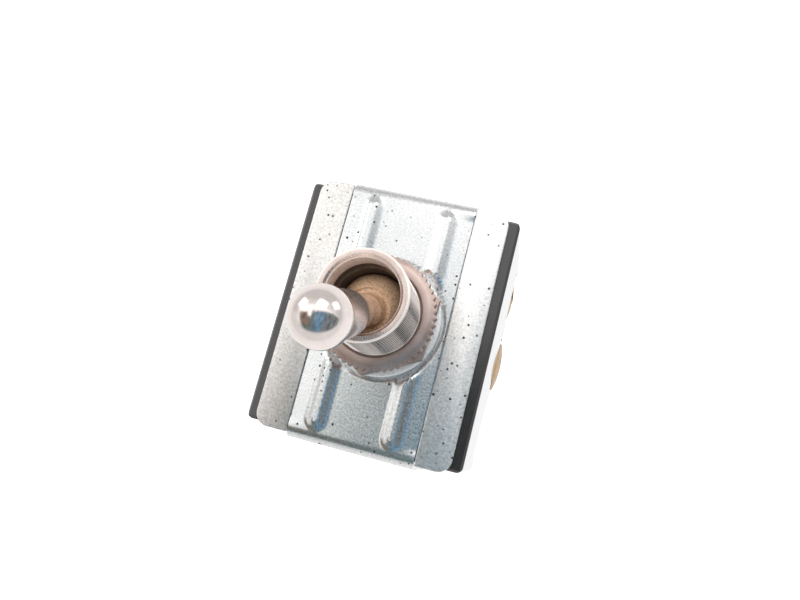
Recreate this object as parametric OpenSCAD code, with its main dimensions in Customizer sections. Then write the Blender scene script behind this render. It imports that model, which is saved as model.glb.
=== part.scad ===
// Heavy-duty two-pole panel toggle switch, ball-tipped lever, screw terminals.
// Millimetres, +Z up. The origin is the centre of the footprint: it lies on the bushing axis, in the
// plane of the terminals' lower ends. The poles stand side by side along X, and the lever swings along Y.

/* [Saddle and cover] */
// Width of the folded saddle strip
saddle_w = 18.3; // [16:0.1:20]
// Thickness of the saddle sheet
saddle_t = 0.9; // [0.7:0.1:1.2]
// Outer radius of the saddle's two bends
bend_r = 1.6; // [1.4:0.1:2.2]
// Gap between a saddle leg and the housing's end wall
leg_gap = 0.2; // [0.1:0.05:0.4]
// Length of the tab that folds under the housing
tab_l = 3.4; // [2.5:0.1:4]
// Width of the folded tab
tab_w = 7; // [5:0.1:8]
// Distance of each pressed rib from the centre line
rib_x = 5.5; // [5:0.1:6]
// Width of a pressed rib
rib_w = 2.6; // [2.2:0.1:3]
// Height of a pressed rib over the saddle
rib_h = 0.55; // [0.4:0.05:0.7]
// Flat left between a rib's round end and the end of the saddle
rib_margin = 1.8; // [1.7:0.1:3]
// Radius of the flat pad that interrupts the ribs under the nuts
pad_r = 8.9; // [8.6:0.1:10]
// Width of the cover plate
cover_w = 28.3; // [27:0.1:30]
// Length of the cover plate's side lands
cover_l = 37.1; // [36.4:0.1:37.8]
// Thickness of the cover plate sheet
cover_t = 0.9; // [0.7:0.1:1.2]
// Corner radius of the cover plate
cover_corner_r = 2; // [1:0.1:3]
// Seam between the saddle and each side land
seam = 0.12; // [0.08:0.01:0.25]

/* [Housing] */
// Width of the moulded housing
housing_w = 31.4; // [30.6:0.1:34]
// Length of the moulded housing
housing_l = 36; // [35.5:0.1:36.6]
// Height of the moulded housing
housing_h = 22; // [21.6:0.1:25]
// Thickness of the housing's walls
wall_t = 2.2; // [1.6:0.1:2.6]
// Thickness of the housing's floor
floor_t = 2; // [1.6:0.1:2.4]
// Radius of the housing's upright edges
housing_corner_r = 0.9; // [0.5:0.1:1.5]
// Chamfer round the housing's top edge
edge_break = 0.35; // [0.2:0.05:0.6]
// Thickness of the barrier between the poles
barrier_t = 2; // [1.5:0.1:3]
// Height of the barrier over the floor
barrier_h = 5; // [3:0.1:5.2]
// Depth of the pockets that the terminals lie in
pocket_h = 2.9; // [2.6:0.1:3.2]

/* [Bushing and nuts] */
// Outer diameter of the bushing thread
thread_d = 11.9; // [11.7:0.05:12.3]
// Core diameter: the bottom of the thread, and the barrel where nuts and plates surround it
core_d = 11.16; // [11.1:0.02:11.4]
// Pitch of the bushing thread, which is drawn as rings
thread_pitch = 0.79; // [0.75:0.01:1.2]
// Width of a thread crest
thread_crest = 0.17; // [0.12:0.01:0.25]
// Plain land between the first groove and the rim's chamfer
thread_lead = 0.25; // [0.2:0.05:1]
// Height of the bushing over the saddle
bushing_h = 15.3; // [13:0.1:17]
// Bore of the bushing
bushing_bore_d = 9.5; // [9.3:0.05:9.6]
// Width of the chamfer outside the rim
rim_chamfer = 0.2; // [0.15:0.05:0.35]
// Width of the countersink inside the rim
rim_sink = 0.4; // [0.3:0.05:0.5]
// Distance of the bore's relief groove below the rim
relief_drop = 3.2; // [2.5:0.1:3.6]
// Length of the relief groove along the bore
relief_l = 2.2; // [1.5:0.1:2.4]
// Depth of the relief groove
relief_depth = 0.3; // [0.2:0.02:0.36]
// Diameter of the flange under the cover plate
flange_d = 15.2; // [14:0.1:17]
// Thickness of the flange
flange_t = 1.3; // [1:0.1:1.6]
// How far the washer reaches beyond the hex nut's flats
washer_rim = 0.9; // [0.5:0.05:1.1]
// Thickness of the washer
washer_t = 0.9; // [0.6:0.1:1.2]
// Hex nut, size across its flats
hex_af = 14.9; // [14:0.1:15]
// Height of the hex nut
hex_h = 2.3; // [1.8:0.1:3]
// Turn of the hex nut round the bushing
hex_turn = 27; // [0:1:59]
// Outer diameter of the knurled nut
knurl_d = 16.3; // [15.5:0.1:17]
// Height of the knurled nut
knurl_h = 1.9; // [1.5:0.1:2.4]
// Teeth round the knurled nut
knurl_teeth = 52; // [40:1:60]
// Depth of a knurl tooth
knurl_depth = 0.42; // [0.3:0.02:0.6]
// Radial clearance of the nuts, washer and plates round the barrel
barrel_clear = 0.02; // [0.01:0.01:0.05]

/* [Lever] */
// Tilt of the lever from upright at rest, half of its full throw
lever_angle = 14; // [12:0.5:14]
// Height of the lever's pivot over the saddle
pivot_h = 6.4; // [6.3:0.05:6.6]
// Diameter of the ball tip
tip_d = 6.95; // [6.6:0.05:7.5]
// Distance from the pivot to the centre of the ball tip
tip_reach = 23.3; // [20:0.1:26]
// Radius of the lever just under the ball tip
neck_tip_r = 3.1; // [2.6:0.05:3.2]
// Radius of the lever at its narrowest, above the pivot ball
neck_r = 2; // [1.8:0.05:2.2]
// Radial clearance of the pivot ball in the bushing
ball_clear = 0.1; // [0.06:0.01:0.1]
// Radius of the lever's lower stem
stem_r = 2.2; // [1.8:0.05:2.2]
// Diameter of the pivot pin
pin_d = 1.8; // [1.5:0.05:2]
// Length of the pivot pin
pin_l = 10.3; // [10:0.05:10.4]
// Clearance of the pivot pin in its slots
pin_clear = 0.05; // [0.02:0.01:0.08]

/* [Switch action] */
// Distance between the terminals along a pole
terminal_pitch = 11.5; // [11:0.1:12]
// Distance from the pivot to the top of the actuator
actuator_top = 11; // [10.8:0.1:11.4]
// Distance from the pivot to the underside of the actuator
actuator_end = 18; // [17:0.1:18]
// Depth of the actuator along the swing
actuator_y = 5.2; // [4.8:0.1:5.6]
// Material between a plunger bore and the actuator's end
actuator_wall = 1.1; // [0.9:0.1:1.4]
// Radius of a plunger
plunger_r = 1.55; // [1.4:0.05:1.6]
// Length of a plunger
plunger_l = 5.8; // [5.6:0.1:6.4]
// Radial clearance of a plunger in its bore
plunger_clear = 0.05; // [0.03:0.01:0.08]
// Wall of the hollow plunger
plunger_wall = 0.4; // [0.35:0.05:0.5]
// Depth of a plunger bore in the actuator
plunger_bore_l = 5.7; // [5.3:0.1:5.8]
// Wire of the plunger springs
spring_wire = 0.35; // [0.25:0.05:0.4]
// Turns of a plunger spring
spring_turns = 8; // [5:1:9]
// Width of a rocker
rocker_w = 5; // [4.6:0.1:5.2]
// Thickness of a rocker
rocker_t = 0.9; // [0.8:0.05:1]
// Share of the lever's turn that the rockers make
rocker_ratio = 0.5; // [0.45:0.05:0.5]
// Radius of the rocker's dished middle, on its upper side
dish_r = 10; // [9.9:0.1:10.4]
// Half length of the dished middle
dish_y = 5.6; // [5.4:0.1:5.8]
// Height of the rocker's upper side over its own pivot
rocker_rise = 1.2; // [1.15:0.05:1.25]
// Radius of the bead that the rocker turns on
bead_r = 0.8; // [0.7:0.05:0.85]
// Radial clearance of the bead in its groove
bead_clear = 0.05; // [0.03:0.01:0.08]
// Height of the rocker's pivot over the floor
rocker_pivot_h = 1.6; // [1.5:0.05:1.65]
// Gap between the plunger's nose and the rocker
nose_gap = 0.15; // [0.12:0.01:0.25]
// Radius of a contact button
contact_r = 1.9; // [1.6:0.1:2.2]
// Thickness of a rocker's contact button
contact_t = 0.9; // [0.7:0.05:1]
// Gap drawn between closed contacts
contact_gap = 0.1; // [0.08:0.01:0.2]

/* [Terminals] */
// Width of a terminal strip
terminal_w = 8; // [7:0.1:8.2]
// Thickness of a terminal strip
terminal_t = 1.2; // [1:0.1:1.4]
// Distance of a terminal tab's outer face inside the housing's side
tab_inset = 2; // [1.8:0.1:2.2]
// Length that the terminals hang below the housing
terminal_drop = 7.1; // [6.8:0.1:9]
// Radius of a rivet's shank
rivet_r = 1.5; // [1.2:0.05:1.6]
// Thickness of a rivet's clenched head
rivet_head_t = 0.8; // [0.6:0.05:0.9]
// Diameter of the terminal screws
screw_d = 3.9; // [3.4:0.05:3.9]
// Diameter of a screw head
screw_head_d = 8; // [7:0.1:8]
// Thickness of a screw head
screw_head_t = 1.5; // [1.4:0.1:1.8]
// Length of a screw under its head
screw_l = 6.5; // [5.5:0.1:7]
// Distance of the screws below the housing's underside
screw_drop = 1.7; // [1.6:0.1:2.5]
// How far each screw is backed out of its terminal: front, centre, back
screw_out = [0.02, 1.1, 0.6];

/* [Hidden] */
POLES = [["left", -1], ["right", 1]];
ROWS = [["front", -1], ["centre", 0], ["back", 1]];

// Facets that stand for a true circle, and for a visibly round small one
ROUND = 96;
SMALL = 48;
// Overshoot of cutting tools past the faces they cut
CUT = 1;

// Heights, counted from the saddle's top face unless a name says otherwise
cover_floor_z = -saddle_t - cover_t;
housing_top_z = -cover_t;
housing_bottom_z = housing_top_z - housing_h;
pocket_z = housing_bottom_z + pocket_h;
floor_z = pocket_z + floor_t;
rocker_z = floor_z + rocker_pivot_h;
screw_z = housing_bottom_z - screw_drop;
stack_h = washer_t + hex_h + knurl_h;
washer_r = hex_af / 2 + washer_rim;
// Height of the saddle's top face over the terminals' ends
saddle_top = housing_h + cover_t + terminal_drop;

// Each pole stands in the middle of its half of the housing
pole_x = housing_w / 4;
tab_face_x = housing_w / 2 - tab_inset;

saddle_l = housing_l + 2 * (leg_gap + saddle_t);
rib_end_y = saddle_l / 2 - rib_margin;
// A rib is a low arch of this radius over its own axis
rib_arch_r = (rib_w * rib_w / 4 + rib_h * rib_h) / (2 * rib_h);
land_x = saddle_w / 2 + seam;
channel_half_w = land_x + cover_t;
channel_l = saddle_l - 2 * bend_r;
// Gaps of the channel in the housing's recess and of a terminal in its pocket
recess_clear = 0.1;
pocket_clear = 0.25;
// Where the terminals' feet begin, inward of their rivets
terminal_inner_x = pole_x - rivet_r - 1.3;

pivot_ball_r = bushing_bore_d / 2 - ball_clear;
core_r = core_d / 2;
barrel_hole_r = core_r + barrel_clear;

actuator_half_x = pole_x + plunger_r + plunger_clear + actuator_wall;
plunger_bore_r = plunger_r + plunger_clear;
plunger_bore_top = actuator_end - plunger_bore_l;
spring_r = plunger_r - plunger_wall - 0.1 - spring_wire / 2;
rocker_angle = lever_angle * rocker_ratio;
// With the lever upright, the plunger's nose stands over the bottom of the rocker's dish
nose_reach = pivot_h - rocker_z - rocker_rise - nose_gap;
plunger_top = nose_reach - plunger_l;
plunger_cup_end = nose_reach - plunger_r - 0.2;
spring_top = plunger_bore_top;
spring_l = plunger_cup_end - spring_top;

// Upper side of the rocker where its dished middle ends, over the rocker's pivot
dish_end_z = rocker_rise + dish_r - sqrt(dish_r * dish_r - dish_y * dish_y);
rocker_half_l = terminal_pitch + contact_r + 0.3;
// Where the dished middle of a rocker at rest ends, measured from its pivot along Y and up
closed_end_y = dish_y * cos(rocker_angle) + dish_end_z * sin(rocker_angle);
arm_top_closed = dish_end_z * cos(rocker_angle) - dish_y * sin(rocker_angle);
fixed_contact_z = rocker_z + arm_top_closed - rocker_t - contact_t - contact_gap;

// ---- Frames ---------------------------------------------------------------------------------------

// Heights of the children count from the saddle's top face
module from_saddle() translate([0, 0, saddle_top]) children();

// The children's origin is the lever's pivot and their Z axis runs up the tilted lever
module lever_frame() from_saddle() translate([0, 0, pivot_h]) rotate([lever_angle, 0, 0]) children();

// The children's origin is a rocker's pivot, with the rocker's back end lowered onto its contact
module rocker_frame(side)
    from_saddle() translate([side * pole_x, 0, rocker_z]) rotate([-rocker_angle, 0, 0]) children();

// ---- Shared shapes --------------------------------------------------------------------------------

// Plate with round corners from z = 0 up, centred in X and Y
module rounded_plate(w, l, t, r) {
    linear_extrude(height = t) {
        square([w - 2 * r, l], center = true);
        square([w, l - 2 * r], center = true);
        for (sx = [-1, 1], sy = [-1, 1])
            translate([sx * (w / 2 - r), sy * (l / 2 - r)]) circle(r = r, $fn = ROUND);
    }
}

// Block centred in X and Y, from z0 up to z1
module block(w, l, z0, z1) translate([-w / 2, -l / 2, z0]) cube([w, l, z1 - z0]);

// Upright cylinder from z0 up to z1
module rod(r, z0, z1, fn = ROUND) translate([0, 0, z0]) cylinder(r = r, h = z1 - z0, $fn = fn);

// ---- Saddle and cover -----------------------------------------------------------------------------

// Side outline of the folded strip: Y to the right, Z up, with a solid core to be cut out
module saddle_outline(inset) {
    half = saddle_l / 2 - inset;
    r = bend_r - inset;
    top = -inset;
    bottom = housing_bottom_z - leg_gap - saddle_t + inset;
    translate([-half, bottom]) square([2 * half, top - r - bottom]);
    translate([-half + r, bottom]) square([2 * (half - r), top - bottom]);
    for (s = [-1, 1]) translate([s * (half - r), top - r]) circle(r = r, $fn = ROUND);
}

// Arch of one rib as a solid bar between y0 and y1, round at the y1 end, of the given radius
module rib_bar(r, y0, y1) {
    translate([0, y0, rib_h - rib_arch_r]) rotate([-90, 0, 0]) cylinder(r = r, h = y1 - y0, $fn = ROUND);
    translate([0, y1, rib_h - rib_arch_r]) sphere(r = r, $fn = ROUND);
}

// Places its children once for each of the four rib segments, as if on the right back one
module each_rib()
    for (sx = [-1, 1], sy = [0, 1]) mirror([0, sy, 0]) translate([sx * rib_x, 0, 0]) children();

module saddle() {
    rib_start_y = sqrt(pad_r * pad_r - rib_x * rib_x);
    rib_last_y = rib_end_y - rib_w / 2;
    leg_bottom = housing_bottom_z - leg_gap - saddle_t;
    color("silver") from_saddle() difference() {
        union() {
            // The folded strip, its legs and the sheet of its tabs
            rotate([90, 0, 90]) translate([0, 0, -saddle_w / 2]) linear_extrude(height = saddle_w)
                difference() {
                    saddle_outline(0);
                    saddle_outline(saddle_t);
                }
            // Ribs, raised over the sheet only
            intersection() {
                each_rib() rib_bar(rib_arch_r, rib_start_y, rib_last_y);
                block(saddle_w, saddle_l, -saddle_t / 2, rib_h + CUT);
            }
        }
        // Hollow under each rib
        each_rib() rib_bar(rib_arch_r - saddle_t, rib_start_y, rib_last_y);
        rod(barrel_hole_r, -saddle_t - CUT, CUT);
        // Only the tabs are left of the sheet under the housing
        block(saddle_w + CUT, saddle_l - 2 * (saddle_t + tab_l), leg_bottom - CUT, housing_bottom_z);
        for (s = [-1, 1]) translate([s * (tab_w + saddle_w) / 2, 0, 0])
            block(saddle_w, saddle_l + CUT, leg_bottom - CUT, housing_bottom_z + saddle_t);
    }
}

module cover_plate() {
    color("lightgray") from_saddle() difference() {
        union() {
            intersection() {
                translate([0, 0, -cover_t]) rounded_plate(cover_w, cover_l, cover_t, cover_corner_r);
                for (s = [-1, 1]) translate([s * (land_x + cover_w / 2), 0, 0])
                    block(cover_w, cover_l, -cover_t, 0);
            }
            block(2 * channel_half_w, channel_l, cover_floor_z, -saddle_t);
            for (s = [-1, 1]) translate([s * (land_x + cover_t / 2), 0, 0])
                block(cover_t, channel_l, cover_floor_z, 0);
        }
        rod(barrel_hole_r, cover_floor_z - CUT, CUT);
    }
}

// ---- Housing --------------------------------------------------------------------------------------

module housing() {
    inner_w = housing_w - 2 * wall_t;
    inner_l = housing_l - 2 * wall_t;
    pocket_w = terminal_w + 2 * pocket_clear;
    pocket_x = terminal_inner_x - pocket_clear;
    color([0.08, 0.07, 0.07]) from_saddle() difference() {
        union() {
            difference() {
                translate([0, 0, housing_bottom_z])
                    rounded_plate(housing_w, housing_l, housing_h, housing_corner_r);
                block(inner_w, inner_l, floor_z, CUT);
                // Recess for the cover plate's channel
                block(2 * (channel_half_w + recess_clear), housing_l + CUT, cover_floor_z, CUT);
            }
            block(barrier_t, inner_l + wall_t, floor_z - floor_t / 2, floor_z + barrier_h);
        }
        // Chamfer round the top edge
        for (s = [-1, 1]) {
            translate([s * housing_w / 2, 0, housing_top_z]) rotate([0, 45, 0])
                cube([edge_break * sqrt(2), housing_l + CUT, edge_break * sqrt(2)], center = true);
            translate([0, s * housing_l / 2, housing_top_z]) rotate([45, 0, 0])
                cube([housing_w + CUT, edge_break * sqrt(2), edge_break * sqrt(2)], center = true);
        }
        for (p = POLES, r = ROWS) {
            translate([p[1] * (pocket_x + housing_w / 2), r[1] * terminal_pitch, 0])
                block(housing_w, pocket_w, housing_bottom_z - CUT, pocket_z);
            translate([p[1] * pole_x, r[1] * terminal_pitch, 0])
                rod(rivet_r + barrel_clear, pocket_z - CUT, floor_z + CUT, SMALL);
        }
    }
}

// ---- Bushing, washer and nuts ---------------------------------------------------------------------

module bushing() {
    bore_r = bushing_bore_d / 2;
    thread_r = thread_d / 2;
    // V grooves down to the core, counted from the rim, with a land left above the nuts
    thread_top = bushing_h - rim_chamfer - thread_lead;
    grooves = floor((thread_top - stack_h - 0.05) / thread_pitch);
    groove_w = thread_pitch - thread_crest;
    relief_top = bushing_h - relief_drop;
    bottom = cover_floor_z - flange_t;
    slot_w = pin_d + 2 * pin_clear;
    slot_half = pin_l / 2 + pin_clear;
    color([0.82, 0.76, 0.72]) from_saddle() difference() {
        rotate_extrude($fn = ROUND) polygon([
            [bore_r, bottom],
            [flange_d / 2, bottom],
            [flange_d / 2, cover_floor_z],
            [core_r, cover_floor_z],
            [core_r, stack_h],
            [thread_r, stack_h],
            for (i = [grooves:-1:1], p = [[0, thread_r], [0.5, core_r], [1, thread_r]])
                [p[1], thread_top - i * thread_pitch + p[0] * groove_w],
            [thread_r, bushing_h - rim_chamfer],
            [thread_r - rim_chamfer, bushing_h],
            [bore_r + rim_sink, bushing_h],
            [bore_r, bushing_h - rim_sink],
            [bore_r, relief_top],
            [bore_r + relief_depth, relief_top],
            [bore_r + relief_depth, relief_top - relief_l],
            [bore_r, relief_top - relief_l],
        ]);
        // Slots that hold the ends of the pivot pin, open at the bottom
        for (s = [-1, 1]) translate([s * (bore_r - CUT), 0, 0]) {
            translate([s > 0 ? 0 : -(slot_half - bore_r + CUT), -slot_w / 2, bottom - CUT])
                cube([slot_half - bore_r + CUT, slot_w, pivot_h - bottom + CUT]);
            translate([0, 0, pivot_h]) rotate([0, s * 90, 0])
                cylinder(d = slot_w, h = slot_half - bore_r + CUT, $fn = SMALL);
        }
    }
}

module washer() {
    color("gainsboro") from_saddle() difference() {
        rod(washer_r, 0, washer_t);
        rod(barrel_hole_r, -CUT, washer_t + CUT);
    }
}

module hex_nut() {
    corner_r = hex_af / 2 / cos(30);
    chamfer = corner_r - hex_af / 2;
    color([0.8, 0.72, 0.66]) from_saddle() translate([0, 0, washer_t]) rotate([0, 0, hex_turn])
        difference() {
            intersection() {
                cylinder(r = corner_r, h = hex_h, $fn = 6);
                // Double chamfer of the corners
                rotate_extrude($fn = ROUND) polygon([
                    [0, 0],
                    [hex_af / 2, 0],
                    [corner_r, chamfer / 2],
                    [corner_r, hex_h - chamfer / 2],
                    [hex_af / 2, hex_h],
                    [0, hex_h],
                ]);
            }
            rod(barrel_hole_r, -CUT, hex_h + CUT);
        }
}

module knurled_nut() {
    tip_r = knurl_d / 2;
    root_r = tip_r - knurl_depth;
    blank_r = tip_r + 0.3;
    // How much flatter than 45 degrees the lower and the upper chamfer are
    lower_rise = 0.27;
    upper_rise = 0.17;
    // Depth of the countersink over the thread
    sink = 0.6;
    step = 360 / knurl_teeth;
    color([0.82, 0.7, 0.64]) from_saddle() translate([0, 0, washer_t + hex_h]) difference() {
        intersection() {
            linear_extrude(height = knurl_h) polygon([
                for (i = [0:knurl_teeth - 1], p = [[0, tip_r], [0.5, root_r]])
                    [p[1] * cos((i + p[0]) * step), p[1] * sin((i + p[0]) * step)]
            ]);
            // Chamfers of the two outer edges, on a blank a little wider than the teeth
            rotate_extrude($fn = ROUND) polygon([
                [0, 0],
                [root_r - 0.2, 0],
                [blank_r, blank_r - root_r - lower_rise],
                [blank_r, knurl_h - (blank_r - root_r - upper_rise)],
                [root_r - 0.5, knurl_h],
                [0, knurl_h],
            ]);
        }
        rod(barrel_hole_r, -CUT, knurl_h + CUT);
        // Countersink of the thread
        rotate_extrude($fn = ROUND) polygon([
            [0, knurl_h - sink],
            [barrel_hole_r, knurl_h - sink],
            [barrel_hole_r + sink + CUT, knurl_h + CUT],
            [0, knurl_h + CUT],
        ]);
    }
}

// ---- Lever and actuator ---------------------------------------------------------------------------

module lever() {
    tip_r = tip_d / 2;
    groove_r = neck_r + 0.95;
    groove_z = sqrt(pivot_ball_r * pivot_ball_r - groove_r * groove_r) - 0.45;
    stem_end = actuator_end - 1.5;
    // Most of the swell towards the ball tip is reached well below it
    swell_z = tip_reach * 0.6;
    swell_r = neck_r + (neck_tip_r - neck_r) * 0.75;
    color([0.85, 0.83, 0.82]) lever_frame() difference() {
        union() {
            translate([0, 0, tip_reach]) sphere(r = tip_r, $fn = ROUND);
            difference() {
                sphere(r = pivot_ball_r, $fn = ROUND);
                // Turned relief round the neck
                rod(groove_r, groove_z, pivot_ball_r + CUT);
            }
            // Shaft: a slim waist that swells towards the ball tip
            rotate_extrude($fn = ROUND) polygon([
                [0, 0],
                [neck_r + 0.3, 0],
                [neck_r + 0.3, groove_z + 0.5],
                [neck_r, groove_z + 1.6],
                [neck_r, groove_z + 4],
                [swell_r, swell_z],
                [neck_tip_r, tip_reach - tip_r * 0.75],
                [neck_tip_r * 0.9, tip_reach],
                [0, tip_reach],
            ]);
            rod(stem_r, -stem_end, 0);
        }
        rotate([0, 90, 0]) cylinder(d = pin_d + 0.02, h = 3 * pivot_ball_r, center = true, $fn = SMALL);
    }
}

module pivot_pin() {
    color("dimgray") lever_frame() rotate([0, 90, 0])
        cylinder(d = pin_d, h = pin_l, center = true, $fn = SMALL);
}

module actuator() {
    stem_end = actuator_end - 1.5;
    color([0.9, 0.87, 0.78]) lever_frame() difference() {
        union() {
            block(2 * actuator_half_x, actuator_y, -actuator_end, -actuator_top);
            rod(stem_r + 1.7, -actuator_end, -actuator_top);
        }
        rod(stem_r + 0.01, -stem_end, 0);
        for (p = POLES) translate([p[1] * pole_x, 0, 0])
            rod(plunger_bore_r, -actuator_end - CUT, -plunger_bore_top, SMALL);
    }
}

module plunger(side) {
    cup_r = plunger_r - plunger_wall;
    color([0.93, 0.9, 0.82]) lever_frame() translate([side * pole_x, 0, 0]) difference() {
        union() {
            translate([0, 0, -nose_reach + plunger_r]) sphere(r = plunger_r, $fn = SMALL);
            rod(plunger_r, -nose_reach + plunger_r, -plunger_top, SMALL);
        }
        rod(cup_r, -plunger_cup_end, -plunger_top + CUT, SMALL);
    }
}

// Coil spring of round wire: its level section is an arc of the wire, carried up by the twist
module plunger_spring(side) {
    pitch = spring_l / spring_turns;
    sweep = 180 * spring_wire / pitch;
    edge_points = 5;
    section = [
        for (i = [0:2 * edge_points - 1])
            let (u = 180 * i / edge_points, a = sweep * cos(u), r = spring_r + spring_wire / 2 * sin(u))
                [r * cos(a), r * sin(a)]
    ];
    color("darkgray") lever_frame() translate([side * pole_x, 0, -plunger_cup_end])
        linear_extrude(height = spring_l, twist = -360 * spring_turns, slices = 16 * spring_turns)
            polygon(section);
}

// ---- Rockers and contacts -------------------------------------------------------------------------

// Side outline of a rocker: Y to the right, Z up from its pivot. The middle is a dish that the plunger
// runs along, and each arm leaves it at the rocker's own tilt, so that the lowered arm lies level.
module rocker_outline() {
    steps = 12;
    last = asin(dish_y / dish_r);
    arm = rocker_half_l - dish_y;
    arm_dir = [cos(rocker_angle), sin(rocker_angle)];
    arm_normal = [sin(rocker_angle), -cos(rocker_angle)];
    dish_end = [dish_y, dish_end_z];
    tip = dish_end + arm * arm_dir;
    under_end = dish_end + rocker_t * arm_normal;
    under_y = under_end[0];
    upper = [for (i = [-steps:steps]) let (a = last * i / steps)
        [dish_r * sin(a), rocker_rise + dish_r - dish_r * cos(a)]];
    lower_r = dish_r + rocker_t;
    lower_last = asin(under_y / lower_r);
    lower = [for (i = [-steps + 1:steps - 1]) let (a = -lower_last * i / steps)
        [lower_r * sin(a), rocker_rise + dish_r - lower_r * cos(a)]];
    tip_under = tip + rocker_t * arm_normal;
    polygon(concat(
        [[-tip[0], tip[1]]],
        upper,
        [tip, tip_under, under_end],
        lower,
        [[-under_end[0], under_end[1]], [-tip_under[0], tip_under[1]]]
    ));
}

module rocker(side) {
    color([0.78, 0.6, 0.35]) rocker_frame(side) {
        rotate([90, 0, 90]) translate([0, 0, -rocker_w / 2]) linear_extrude(height = rocker_w)
            rocker_outline();
        rotate([0, 90, 0]) cylinder(r = bead_r, h = rocker_w, center = true, $fn = SMALL);
    }
}

// The two silver buttons under a rocker's arms
module rocker_contacts(side) {
    along = terminal_pitch - closed_end_y;
    color("whitesmoke") rocker_frame(side) for (s = [0, 1]) mirror([0, s, 0])
        translate([0, dish_y, dish_end_z]) rotate([rocker_angle, 0, 0]) translate([0, along, 0])
            rod(contact_r, -rocker_t - contact_t, -rocker_t, SMALL);
}

// Brass fork that carries a rocker, riveted through the floor and the centre terminal
module fulcrum_post(side) {
    ear_gap = rocker_w + 0.4;
    ear_t = 0.9;
    color([0.8, 0.62, 0.3]) from_saddle() translate([side * pole_x, 0, 0]) {
        difference() {
            union() {
                block(ear_gap + 2 * ear_t, 3.6, floor_z, rocker_z - 0.1);
                for (s = [-1, 1]) translate([s * (ear_gap + ear_t) / 2, 0, 0])
                    block(ear_t, 3.6, floor_z, rocker_z + rocker_rise);
            }
            translate([0, 0, rocker_z]) rotate([0, 90, 0])
                cylinder(r = bead_r + bead_clear, h = ear_gap, center = true, $fn = SMALL);
        }
        rivet_shank();
    }
}

// Shank through the floor and a terminal's foot, with its clenched head
module rivet_shank() {
    under = pocket_z - terminal_t;
    rod(rivet_r, under - rivet_head_t, floor_z, SMALL);
    rod(rivet_r + 0.8, under - rivet_head_t, under, SMALL);
}

// The two fixed contacts of a pole, front and back
module fixed_contacts(side) {
    color("gainsboro") from_saddle() for (s = [-1, 1])
        translate([side * pole_x, s * terminal_pitch, 0]) {
            rod(contact_r + 0.2, floor_z, fixed_contact_z, SMALL);
            rivet_shank();
        }
}

// ---- Terminals ------------------------------------------------------------------------------------

module terminal(side, row) {
    bend = terminal_t + 0.4;
    tab_bottom = -saddle_top;
    tab_corner = 1.2;
    color([0.84, 0.66, 0.33]) from_saddle() translate([0, row * terminal_pitch, 0])
        mirror([side < 0 ? 1 : 0, 0, 0]) difference() {
            intersection() {
                // Side outline of the folded strip, X to the right and Z up
                rotate([90, 0, 0]) translate([0, 0, -terminal_w / 2]) linear_extrude(height = terminal_w) {
                    translate([terminal_inner_x, pocket_z - terminal_t])
                        square([tab_face_x - bend - terminal_inner_x, terminal_t]);
                    translate([tab_face_x - terminal_t, tab_bottom])
                        square([terminal_t, pocket_z - bend - tab_bottom]);
                    translate([tab_face_x - bend, pocket_z - bend]) intersection() {
                        difference() {
                            circle(r = bend, $fn = SMALL);
                            circle(r = bend - terminal_t, $fn = SMALL);
                        }
                        square(bend);
                    }
                }
                // Tab corners cut off at its lower end
                rotate([90, 0, 90]) linear_extrude(height = tab_face_x + CUT) polygon([
                    [-terminal_w / 2 + tab_corner, tab_bottom],
                    [terminal_w / 2 - tab_corner, tab_bottom],
                    [terminal_w / 2, tab_bottom + tab_corner],
                    [terminal_w / 2, pocket_z],
                    [-terminal_w / 2, pocket_z],
                    [-terminal_w / 2, tab_bottom + tab_corner],
                ]);
            }
            translate([pole_x, 0, 0])
                rod(rivet_r + barrel_clear, pocket_z - 2 * terminal_t, pocket_z + CUT, SMALL);
            translate([tab_face_x - 2 * terminal_t, 0, screw_z]) rotate([0, 90, 0])
                cylinder(r = screw_d / 2 + barrel_clear, h = 3 * terminal_t, $fn = SMALL);
        }
}

// Round slotted head with its shank, along Z with the head's seat at z = 0
module terminal_screw(turn) {
    head_r = screw_head_d / 2;
    rim_t = 0.6 * screw_head_t;
    crown = screw_head_t - rim_t;
    crown_r = (head_r * head_r + crown * crown) / (2 * crown);
    difference() {
        union() {
            rod(screw_d / 2, -screw_l, 0, SMALL);
            intersection() {
                rod(head_r, 0, screw_head_t, ROUND);
                translate([0, 0, screw_head_t - crown_r]) sphere(r = crown_r, $fn = ROUND);
            }
        }
        rotate([0, 0, turn]) block(2 * screw_head_d, 1.1, screw_head_t - 1, screw_head_t + CUT);
    }
}

module terminal_screws() {
    turns = [35, 100, 160];
    color([0.86, 0.68, 0.36]) from_saddle() for (p = POLES, i = [0:2])
        mirror([p[1] < 0 ? 1 : 0, 0, 0])
            translate([tab_face_x + screw_out[i], ROWS[i][1] * terminal_pitch, screw_z])
                rotate([0, 90, 0]) terminal_screw(turns[i]);
}

// ---- Nodes ----------------------------------------------------------------------------------------

saddle();
cover_plate();
housing();
bushing();
washer();
hex_nut();
knurled_nut();
lever();
pivot_pin();
actuator();
plunger(-1);  // plunger_left
plunger(1);  // plunger_right
plunger_spring(-1);  // plunger_spring_left
plunger_spring(1);  // plunger_spring_right
rocker(-1);  // rocker_left
rocker(1);  // rocker_right
rocker_contacts(-1);  // rocker_contacts_left
rocker_contacts(1);  // rocker_contacts_right
fulcrum_post(-1);  // fulcrum_post_left
fulcrum_post(1);  // fulcrum_post_right
fixed_contacts(-1);  // fixed_contacts_left
fixed_contacts(1);  // fixed_contacts_right
terminal(-1, -1);  // terminal_left_front
terminal(-1, 0);  // terminal_left_centre
terminal(-1, 1);  // terminal_left_back
terminal(1, -1);  // terminal_right_front
terminal(1, 0);  // terminal_right_centre
terminal(1, 1);  // terminal_right_back
terminal_screws();
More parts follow.
